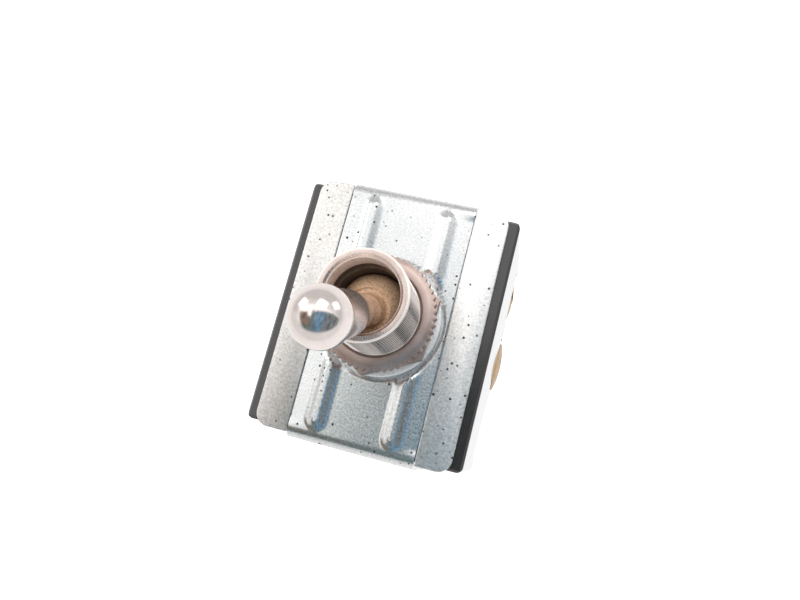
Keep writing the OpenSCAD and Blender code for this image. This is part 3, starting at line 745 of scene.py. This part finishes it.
@dataclass
class CoverPlate:
    """The plate under the saddle, which shows as a land on each side of it."""

    plate_z: float
    width: float = 28.3
    length: float = 37.1
    thickness: float = 0.9
    corner_radius: float = 2.0
    inner_radius: float = 0.15
    land_x: float = 9.27
    channel_half_length: float = 17.5
    channel_radius: float = 0.2
    hole_radius: float = 5.6
    edge: float = 0.16

    def slab(
        self, outline: Array, low: float, high: float, hole: float = 0.0
    ) -> tuple[Array, list[list[int]]]:
        """A flat plate with softened rims: the outline, drawn in by the edge radius along quarter circles.

        Args:
            outline: convex outline, one (X, Y) row per point, counter-clockwise.
            low: lower face's height.
            high: upper face's height.
            hole: radius of a hole about the origin, with a point abreast of each of the outline's, or 0.

        Returns:
            Points and faces.
        """
        ahead = np.roll(outline, -1, axis=0) - np.roll(outline, 1, axis=0)
        inward = np.stack([-ahead[:, 1], ahead[:, 0]], 1) / np.linalg.norm(ahead, axis=1)[:, None]
        turn = np.linspace(0.0, QUARTER_TURN, 5)
        drawn_in = self.edge * (1.0 - np.sin(turn))
        rise = self.edge * (1.0 - np.cos(turn))
        inset = np.concatenate([drawn_in, drawn_in[::-1]])
        level = np.concatenate([low + rise, high - rise[::-1]])
        rings = outline[None] + inward[None] * inset[:, None, None]
        if hole:
            rim = hole * outline[None] / np.linalg.norm(outline, axis=1)[None, :, None]
            rings = np.concatenate([rim, rings, rim])
            level = np.concatenate([[low], level, [high]])
        points = np.concatenate([rings, np.broadcast_to(level[:, None, None], (*rings.shape[:2], 1))], 2)
        count = len(outline)
        faces = grid_faces(len(level), count, bool(hole), True).tolist()
        if not hole:
            faces.append(list(range(count)))
            faces.append(list(range((len(level) - 1) * count, len(level) * count)))
        return points.reshape(-1, 3), faces

    def tray(self) -> Array:
        """The channel's outline, each side cut into short lengths so that the hole's rim comes out round.

        Returns:
            One (X, Y) row per point, counter-clockwise.
        """
        wall, end, radius = self.land_x + self.thickness, self.channel_half_length, self.channel_radius
        corners = [[-wall, -end, radius], [wall, -end, radius], [wall, end, radius], [-wall, end, radius]]
        line = fillet(corners, steps=3)
        onward = np.roll(line, -1, axis=0) - line
        cuts = np.linspace(0.0, 1.0, 48, endpoint=False)[:, None]
        straight = np.linalg.norm(onward, axis=1) > 1.0
        return np.concatenate([p + (cuts if s else cuts[:1]) * o for p, o, s in zip(line, onward, straight)])

    def build(self) -> Piece:
        """Makes both lands and the channel that passes under the saddle as one piece.

        Returns:
            The cover plate.
        """
        half_w, half_l = self.width / 2.0, self.length / 2.0
        corners = [
            [self.land_x, -half_l, self.inner_radius], [half_w, -half_l, self.corner_radius],
            [half_w, half_l, self.corner_radius], [self.land_x, half_l, self.inner_radius],
        ]
        land = fillet(corners, steps=9)
        parts = [
            self.slab(land, -self.thickness, 0.0),
            self.slab((land * [-1.0, 1.0])[::-1], -self.thickness, 0.0),
            self.slab(self.tray(), -2.0 * self.thickness, -self.thickness, self.hole_radius),
        ]
        offsets = np.cumsum([0] + [len(points) for points, _ in parts])
        points = np.concatenate([points for points, _ in parts]) + [0.0, 0.0, self.plate_z]
        faces = [[i + int(o) for i in face] for o, (_, part) in zip(offsets, parts) for face in part]
        return mesh_object("cover_sheet", points, faces)


# Turned parts -------------------------------------------------------------------------------------


@dataclass
class Barrel:
    """The threaded bushing."""

    plate_z: float
    height: float = 15.3
    thread_radius: float = 5.95
    thread_depth: float = 0.4
    pitch: float = 0.79
    crest: float = 0.17
    thread_start: float = 4.9
    thread_end: float = 14.85
    run_in: float = 0.3
    run_out: float = 0.35
    core_radius: float = 5.58
    core_cone: float = 0.1
    rim_chamfer: float = 0.15
    rim_inner: float = 5.15
    bore_radius: float = 4.75
    relief_radius: float = 5.05
    relief_top: float = 12.1
    relief_bottom: float = 9.9
    flange_radius: float = 7.6
    flange_top: float = -1.8
    flange_thickness: float = 1.3

    def build(self) -> Piece:
        """Sweeps the barrel's outline round its axis, with a helical V thread on the outside.

        Outside, the radius is the crest's less a V groove: depth times the share of the way in from the
        groove's edges, where the place within a groove is height / pitch - angle / one turn. The groove
        dies away at both ends of the thread.

        Returns:
            The barrel.
        """
        angle = whole_turn(192)
        thread = np.arange(self.thread_start, self.thread_end, self.pitch / 12.0)
        bottom = self.flange_top - self.flange_thickness
        foot = np.array([
            [self.bore_radius, bottom], [self.flange_radius, bottom], [self.flange_radius, self.flange_top],
            [self.core_radius, self.flange_top], [self.core_radius, self.thread_start - self.core_cone],
        ])
        # Radius, height and rounding of each corner over the thread's end and down the bore
        rim = fillet([
            [self.thread_radius, self.thread_end, 0.0],
            [self.thread_radius, self.height - self.rim_chamfer, 0.05],
            [self.thread_radius - self.rim_chamfer, self.height, 0.06],
            [self.rim_inner, self.height, 0.06],
            [self.bore_radius, self.height - (self.rim_inner - self.bore_radius), 0.12],
            [self.bore_radius, self.relief_top, 0.1],
            [self.relief_radius, self.relief_top, 0.05],
            [self.relief_radius, self.relief_bottom, 0.1],
            [self.bore_radius, self.relief_bottom, 0.05],
            [self.bore_radius, bottom, 0.0],
        ], closed=False)
        radius = np.concatenate([foot[:, 0], np.full(len(thread), self.thread_radius), rim[:, 0]])
        height = np.concatenate([foot[:, 1], thread, rim[:, 1]])
        shown = smooth_step((thread - self.thread_start) / self.run_in)
        shown = shown * smooth_step((self.thread_end - thread) / self.run_out)
        depth = np.concatenate([np.zeros(len(foot)), self.thread_depth * shown, np.zeros(len(rim))])
        phase = (height[None, :] / self.pitch - angle[:, None] / FULL_TURN) % 1.0
        groove = np.clip((0.5 - np.abs(phase - 0.5)) / (0.5 - 0.5 * self.crest / self.pitch), 0.0, 1.0)
        return turned("bushing_barrel", radius - depth * groove, height + self.plate_z, angle)


@dataclass
class ClampStack:
    """The washer, the hex nut and the knurled round nut on the bushing."""

    plate_z: float
    hole_radius: float = 5.6
    washer_radius: float = 8.35
    washer_top: float = 0.9
    hex_flats: float = 14.9
    hex_top: float = 3.2
    hex_turn: float = 27.0
    hex_bevel: float = 0.577
    hex_shoulder: float = 0.15
    hex_round: float = 0.14
    hole_bevel: float = 0.5
    knurl_radius: float = 8.15
    knurl_top: float = 5.1
    knurl_teeth: int = 52
    knurl_depth: float = 0.42
    foot_height: float = 0.34
    foot_inset: float = 0.2
    foot_slope: float = 0.45
    brow_height: float = 0.48
    brow_inset: float = 0.5
    brow_slope: float = 0.46
    mouth_width: float = 0.65
    mouth_depth: float = 0.6

    def washer(self) -> Piece:
        """Makes the flat ring with softened rims.

        Returns:
            The washer.
        """
        line = fillet([
            [self.hole_radius, 0.0, 0.1], [self.washer_radius, 0.0, 0.2],
            [self.washer_radius, self.washer_top, 0.3], [self.hole_radius, self.washer_top, 0.1],
        ])
        return turned("washer_ring", line[:, 0], line[:, 1] + self.plate_z, whole_turn(128))

    def hex_nut(self) -> Piece:
        """Makes the hexagon with bevelled corners.

        Its outer radius is half the flats' distance over the cosine of the angle from a flat's middle. Its
        corners fall away at 30 degrees outside the circle that touches the flats.

        Returns:
            The hex nut.
        """
        per_side = 18
        angle = whole_turn(6 * per_side, radians(self.hex_turn))
        flat = self.hex_flats / 2.0
        from_flat = (np.arange(6 * per_side) % per_side) / per_side * (pi / 3.0) - pi / 6.0
        corner = flat / np.cos(from_flat) - flat
        # Radius at a flat's middle, share of the corner's reach, rise from the face, side of the bevel
        lower = np.array([
            [self.hole_radius, 0.0, self.hole_bevel, 0.0],
            [self.hole_radius + self.hole_bevel, 0.0, 0.0, 0.0],
            [flat - self.hex_shoulder, 0.0, 0.0, 0.0],
            [flat, 0.5, 0.0, 1.0],
            [flat, 0.93, 0.02, 1.0],
            [flat, 1.0, self.hex_round, 1.0],
        ])
        upper = lower[::-1] * [1.0, 1.0, -1.0, -1.0]
        middle, share, rise, sign = np.concatenate([lower, upper]).T
        face = np.repeat([self.washer_top, self.hex_top], len(lower))
        radius = middle + corner[:, None] * share
        fall = np.maximum(radius - flat, 0.0) * self.hex_bevel
        height = face + rise + sign * fall + self.plate_z
        return turned("hex_nut_turned", radius, height, angle, sharp_degrees=20.0)

    def knurled_nut(self) -> Piece:
        """Makes the round nut: a triangle wave of the angle cuts its teeth, and two cones bevel their ends.

        Returns:
            The knurled nut.
        """
        per_tooth = 8
        angle = whole_turn(self.knurl_teeth * per_tooth)
        tooth = (np.arange(len(angle)) % per_tooth) / per_tooth
        wave = np.clip(np.abs(tooth * 2.0 - 1.0) * 1.2 - 0.06, 0.0, 1.0)
        root = self.knurl_radius - self.knurl_depth
        low, high, hole = self.hex_top, self.knurl_top, self.hole_radius
        lower = np.linspace(low, low + self.foot_height, 4)[1:]
        upper = np.linspace(high - self.brow_height, high, 7)
        level = np.concatenate([[low, low], lower, upper])
        foot, brow = root - self.foot_inset, root - self.brow_inset
        cone = np.concatenate([
            [hole, foot], foot + (lower - low) / self.foot_slope, brow + (high - upper) / self.brow_slope,
        ])
        # Between the cones only the teeth limit the radius
        cone[4:6] = math.inf
        mouth = fillet([
            [brow, high, 0.0], [hole + self.mouth_width, high, 0.12],
            [hole, high - self.mouth_depth, 0.0], [hole, low, 0.0],
        ], closed=False)[1:-1]
        radius = np.minimum((root + self.knurl_depth * wave)[:, None], cone)
        radius = np.concatenate([radius, mouth[None, :, 0].repeat(len(angle), 0)], 1)
        height = np.concatenate([level, mouth[:, 1]]) + self.plate_z
        return turned("knurled_nut_turned", radius, height, angle)


@dataclass
class Lever:
    """The ball-tipped lever, turned in one piece: its outline is swept round its own tilted axis."""

    plate_z: float
    tilt: float = 14.0
    pivot_z: float = 6.4
    tip_radius: float = 3.475
    tip_reach: float = 23.3
    ball_radius: float = 4.65
    neck_tip: float = 3.1
    neck: float = 2.0
    collar_width: float = 0.3
    swell_share: float = 0.75
    swell_place: float = 0.6
    stem_radius: float = 2.2
    stem_end: float = -16.5
    groove_outer: float = 2.95
    groove_depth: float = 0.45

    def outline(self) -> Array:
        """The lever's outline from its lower end up to the top of its tip.

        The pivot ball and the tip are arcs. The neck between them rises from a shelf sunk into the ball, and
        swells towards the tip along rounded straight runs.

        Returns:
            One row of radius and height for each point.
        """
        turn = np.linspace(
            math.asin(self.stem_radius / self.ball_radius) - QUARTER_TURN,
            QUARTER_TURN - math.asin(self.groove_outer / self.ball_radius),
            49,
        )
        ball = self.ball_radius * np.stack([np.cos(turn), np.sin(turn)], 1)
        foot = [[0.0, self.stem_end, 0.0], [self.stem_radius, self.stem_end, 0.4], [*ball[0], 0.0]]
        below = fillet(foot, closed=False)
        shelf = ball[-1, 1] - self.groove_depth
        collar = self.neck + self.collar_width
        swell = self.neck + self.swell_share * (self.neck_tip - self.neck)
        join = self.tip_reach - math.sqrt(self.tip_radius**2 - self.neck_tip**2)
        tip_foot = math.sqrt(self.tip_radius**2 - (self.tip_reach - join - 0.5) ** 2)
        # Radius, height and rounding of each corner
        neck = fillet([
            [*ball[-1], 0.0],
            [self.groove_outer, shelf, 0.12],
            [collar, shelf, 0.15],
            [collar, shelf + 0.5, 0.25],
            [self.neck, shelf + 1.6, 3.0],
            [self.neck, shelf + 4.0, 6.0],
            [swell, self.swell_place * self.tip_reach, 20.0],
            [self.neck_tip, join - 0.25, 1.0],
            [tip_foot, join + 0.5, 0.0],
        ], closed=False, steps=9)
        start = math.asin((neck[-1, 1] - self.tip_reach) / self.tip_radius)
        turn = np.linspace(start, QUARTER_TURN, 49)
        tip = np.stack([self.tip_radius * np.cos(turn), self.tip_reach + self.tip_radius * np.sin(turn)], 1)
        tip[-1, 0] = 0.0
        return np.concatenate([below[:-1], ball, neck[1:-1], tip])

    def build(self) -> Piece:
        """Makes the lever and tilts its points about the pivot.

        Returns:
            The lever.
        """
        line = self.outline()
        piece = turned("lever_turned", line[:, 0], line[:, 1], whole_turn(128), closed=False)
        pivot = Matrix.Translation((0.0, 0.0, (self.plate_z + self.pivot_z) * MM))
        piece.data.transform(pivot @ Matrix.Rotation(radians(self.tilt), 4, "X"))
        return piece


# Studio -------------------------------------------------------------------------------------------


class Lean(IntEnum):
    """Which way a direction leans from straight up."""

    X = 0
    Y = 1


# Patches of the room as metal mirrors it. Each is the product of smooth rises from 0 to 1 over a span of one
# lean, from its first to its second angle in degrees.
BETWEEN_LAMPS = ((Lean.X, -74.0, -54.0), (Lean.X, 78.0, 60.0), (Lean.Y, -58.0, -48.0))
PATCHES = {
    "sill": ((Lean.X, -15.5, -13.5), (Lean.X, -7.0, -10.0)),
    "pane": ((Lean.X, -29.0, -25.0), (Lean.X, -13.5, -16.0), (Lean.Y, -16.0, -8.0)),
    "dim": ((Lean.Y, -70.0, -58.0), (Lean.X, -66.0, -50.0), (Lean.X, 88.0, 76.0)),
    "teal": ((Lean.X, -19.0, -14.5),),
    "low": ((Lean.Y, -40.0, -52.0),),
    "blue": ((Lean.X, -8.0, 6.0),),
    "grey": ((Lean.X, 24.0, 40.0),),
    "far": ((Lean.Y, -20.0, 0.0),),
    "high": (*BETWEEN_LAMPS, (Lean.Y, 56.0, 42.0)),
    "bright": (*BETWEEN_LAMPS, (Lean.Y, 36.0, 22.0)),
}
WHITE = (1.0, 1.0, 1.0, 1.0)
BLACK = (0.0, 0.0, 0.0, 1.0)


@dataclass(frozen=True)
class Lamp:
    """A rectangular lamp that faces the switch: its place and sides in metres and its power in watts."""

    name: str
    place: tuple[float, float, float]
    sides: tuple[float, float]
    watts: float
    colour: str = "#FFFFFF"

    def build(self, aim: Vector) -> None:
        """Makes the lamp.

        Args:
            aim: the point that it faces, in metres.
        """
        data = bpy.data.lights.new(self.name, "AREA")
        data.shape = "RECTANGLE"
        data.size, data.size_y = self.sides
        data.energy = self.watts
        data.color = linear(self.colour)[:3]
        lamp = bpy.data.objects.new(self.name, data)
        lamp.location = self.place
        lamp.rotation_euler = (aim - Vector(self.place)).to_track_quat("-Z", "Y").to_euler()
        bpy.context.scene.collection.objects.link(lamp)


@dataclass
class Studio:
    """Floor, lamps, surroundings and camera."""

    plate_z: float
    lens: float = 33.683
    camera_place: tuple[float, float, float] = (22.271, -15.272, 101.935)
    camera_right: tuple[float, float, float] = (0.956688, 0.250923, -0.147598)
    camera_up: tuple[float, float, float] = (-0.216469, 0.952176, 0.215644)
    camera_back: tuple[float, float, float] = (0.194649, -0.174354, 0.965253)
    floor_size: float = 3000.0
    floor_z: float = -0.02
    lamps: tuple[Lamp, ...] = (
        Lamp("window_left", (-0.50, 0.24, 0.35), (0.26, 0.26), 0.42),
        Lamp("window_middle", (0.10, 0.40, 0.55), (0.34, 0.28), 0.60, "#FAFCFF"),
        Lamp("window_right", (0.47, 0.45, 0.24), (0.24, 0.24), 0.34),
    )

    def camera(self) -> None:
        """Puts the camera close over the switch, a little to the right and in front of it."""
        data = bpy.data.cameras.new("camera")
        data.lens, data.sensor_width = self.lens, 36.0
        data.clip_start, data.clip_end = 0.005, 20.0
        camera = bpy.data.objects.new("camera", data)
        turn = Matrix((self.camera_right, self.camera_up, self.camera_back)).transposed().to_4x4()
        spot = Vector(self.camera_place) + Vector((0.0, 0.0, self.plate_z))
        camera.matrix_world = Matrix.Translation(spot * MM) @ turn
        bpy.context.scene.collection.objects.link(camera)
        bpy.context.scene.camera = camera

    def seen_plainly(self, tree: Tree, path: Outputs) -> Socket:
        """1 for rays from the camera, straight or through something clear, and 0 for others."""
        rays = {0: path["Is Camera Ray"], 1: path["Is Transmission Ray"]}
        return add(tree, "Math", rays, operation="MAXIMUM")[0]

    def floor(self) -> None:
        """A sheet that keeps the switch's soft shadow and is white for the camera.

        In metal it is only a glow, white near the switch and greyer far off.
        """
        material = bpy.data.materials.new("white_floor")
        tree = empty_tree(material)
        path = add(tree, "LightPath")
        mirrored = path["Is Glossy Ray"]
        far = add(tree, "VectorMath", {0: add(tree, "TexCoord")["Object"]}, operation="LENGTH")["Value"]
        level = add(tree, "MapRange", {"Value": far, 1: 0.12, 2: 0.8, 3: 1.06, 4: 0.8})[0]
        level = add(tree, "Math", {0: mirrored, 1: level}, operation="MULTIPLY")[0]
        glow = {0: self.seen_plainly(tree, path), 1: 0.62, 2: level}
        glow = add(tree, "Math", glow, operation="MULTIPLY_ADD")[0]
        tint = add(tree, "Mix", {0: mirrored, 6: linear("#F4F4F4"), 7: BLACK}, data_type="RGBA")[2]
        paper = add(tree, "BsdfDiffuse", {"Color": tint})[0]
        shine = add(tree, "Emission", {"Color": WHITE, "Strength": glow})[0]
        add(tree, "OutputMaterial", {"Surface": add(tree, "AddShader", {0: paper, 1: shine})[0]})
        ends = ((-1.0, -1.0), (1.0, -1.0), (1.0, 1.0), (-1.0, 1.0))
        corners = np.array([[self.floor_size * x, self.floor_size * y, self.floor_z] for x, y in ends])
        floor = mesh_object("floor_sheet", corners, [[0, 1, 2, 3]])
        dress(floor, material)

    def world(self) -> None:
        """White to the camera; in metal, a pale room with a dim patch overhead; a plain level of light.

        A direction is told by how far it leans from straight up along X and Y. The dim part lies below a
        slanted edge that noise makes uneven, with a notch and a pale pane in it. Along X its colour goes from
        brown over teal and blue to grey, in streaks.
        """
        world = bpy.data.worlds.new("room")
        bpy.context.scene.world = world
        tree = empty_tree(world)
        path = add(tree, "LightPath")
        parts = add(tree, "SeparateXYZ", {0: add(tree, "TexCoord")["Generated"]})
        lean = [add(tree, "Math", {0: parts[way], 1: parts[2]}, operation="ARCTAN2")[0] for way in Lean]
        patch: dict[str, Any] = dict.fromkeys(PATCHES, 1.0)
        for name, rises in PATCHES.items():
            for way, start, end in rises:
                limits = {"Value": lean[way], 1: radians(start), 2: radians(end)}
                rise = add(tree, "MapRange", limits, interpolation_type="SMOOTHSTEP")[0]
                patch[name] = add(tree, "Math", {0: rise, 1: patch[name]}, operation="MULTIPLY")[0]

        slant = {1: radians(-40.0), 2: radians(60.0), 3: radians(2.0), 4: radians(-25.0)}
        edge = add(tree, "MapRange", {"Value": lean[Lean.X], **slant})[0]
        low = add(tree, "Math", {0: lean[Lean.Y], 1: 0.25}, operation="MULTIPLY")[0]
        upright = add(tree, "CombineXYZ", {0: lean[Lean.X], 1: low})[0]
        clutter = add(tree, "TexNoise", {"Vector": upright, "Scale": 8.0, "Detail": 2.0})["Fac"]
        edge = add(tree, "Math", {0: edge, 1: lean[Lean.Y]}, operation="ADD")[0]
        edge = add(tree, "Math", {0: clutter, 1: 0.16, 2: edge}, operation="MULTIPLY_ADD")[0]
        edge = add(tree, "Math", {0: patch["sill"], 1: radians(-5.0), 2: edge}, operation="MULTIPLY_ADD")[0]
        # The noise is a half on the average, which lifts the edge by 0.08
        limits = {"Value": edge, 1: 0.08 + radians(5.0), 2: 0.08 + radians(-4.0)}
        dim = add(tree, "MapRange", limits, interpolation_type="SMOOTHSTEP")[0]
        walls = add(tree, "Math", {0: 1.0, 1: patch["pane"]}, operation="SUBTRACT")[0]
        for part in (walls, patch["dim"]):
            dim = add(tree, "Math", {0: dim, 1: part}, operation="MULTIPLY")[0]

        teal = add(tree, "Math", {0: patch["teal"], 1: patch["low"]}, operation="MAXIMUM")[0]
        shade: Any = linear("#76665A")
        for share, colour in ((teal, "#647576"), (patch["blue"], "#5B7F9A"), (patch["grey"], "#6B7377")):
            shade = add(tree, "Mix", {0: share, 6: shade, 7: linear(colour)}, data_type="RGBA")[2]
        streaks = add(tree, "MapRange", {"Value": clutter, 1: 0.35, 2: 0.65, 3: 0.45, 4: 2.0})[0]
        shade = add(tree, "VectorMath", {0: shade, 1: streaks}, operation="MULTIPLY")[0]

        # Over its edge the room is bright, brightest between the lamps, and grey towards the far horizon
        wall: Any = 0.85
        for name, level in (("far", 0.7), ("high", 0.85), ("bright", 1.4)):
            wall = add(tree, "Mix", {0: patch[name], 2: wall, 3: level})[0]
        room = add(tree, "Mix", {0: dim, 6: wall, 7: shade}, data_type="RGBA")[2]
        # Plain surfaces are lit most from overhead
        limits = {"Value": parts[2], 1: 0.6, 2: 1.0, 3: 0.5, 4: 2.7}
        level = add(tree, "MapRange", limits, interpolation_type="SMOOTHSTEP")[0]
        lit = add(tree, "Mix", {0: path["Is Glossy Ray"], 6: level, 7: room}, data_type="RGBA")[2]
        colour = {0: self.seen_plainly(tree, path), 6: lit, 7: WHITE}
        colour = add(tree, "Mix", colour, data_type="RGBA")[2]
        add(tree, "OutputWorld", {"Surface": add(tree, "Background", {"Color": colour, "Strength": 1.0})[0]})

    def build(self) -> None:
        """Makes everything round the switch."""
        self.camera()
        self.floor()
        self.world()
        for lamp in self.lamps:
            lamp.build(Vector((0.0, 0.0, self.plate_z * MM)))
        bpy.context.scene.view_settings.view_transform = "Standard"


def main() -> None:
    """Builds the switch's pieces and finishes, then the studio."""
    logging.basicConfig(level=logging.INFO, format="%(message)s")
    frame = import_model()
    plate_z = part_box("cover_plate")[1].z / MM
    lever = Lever(plate_z)
    stack = ClampStack(plate_z)
    frames = {
        Turning.ROUND_Z: (Vector((0.0, 0.0, 0.0)), 0.0),
        Turning.ROUND_LEVER: (Vector((0.0, 0.0, (plate_z + lever.pivot_z) * MM)), radians(lever.tilt)),
    }
    metals = {metal: metal.build(frames) for metal in METALS}

    settle(Saddle(plate_z).build(), metals[SADDLE_ZINC], "base", "saddle")
    settle(CoverPlate(plate_z).build(), metals[COVER_ZINC], "base", "cover_plate")
    settle(Barrel(plate_z).build(), metals[BARREL_NICKEL], "base", "bushing")
    settle(stack.washer(), metals[WASHER_ZINC], "base", "washer")
    settle(stack.hex_nut(), metals[NUT_NICKEL], "base", "hex_nut")
    settle(stack.knurled_nut(), metals[NUT_NICKEL], "base", "knurled_nut")
    settle(lever.build(), metals[LEVER_NICKEL], "lever", "lever")

    nylon = NYLON.build()
    finishes = {
        "housing": PHENOLIC.build(),
        "actuator": nylon,
        "pivot_pin": metals[PIN_STEEL],
        "terminal_screws": metals[BRASS],
    }
    for side in SIDES:
        finishes[f"plunger_{side}"] = nylon
        finishes[f"plunger_spring_{side}"] = metals[SPRING_STEEL]
        for name in ("rocker", "fulcrum_post"):
            finishes[f"{name}_{side}"] = metals[BRASS]
        for name in ("rocker_contacts", "fixed_contacts"):
            finishes[f"{name}_{side}"] = metals[SILVER]
        for row in ROWS:
            finishes[f"terminal_{side}_{row}"] = metals[BRASS]
    for name, material in finishes.items():
        dress(frame["nodes"][name], material)
        LOG.info("%s keeps its own mesh, in %s", name, material.name)

    Studio(plate_z).build()


if __name__ == "__main__":
    main()
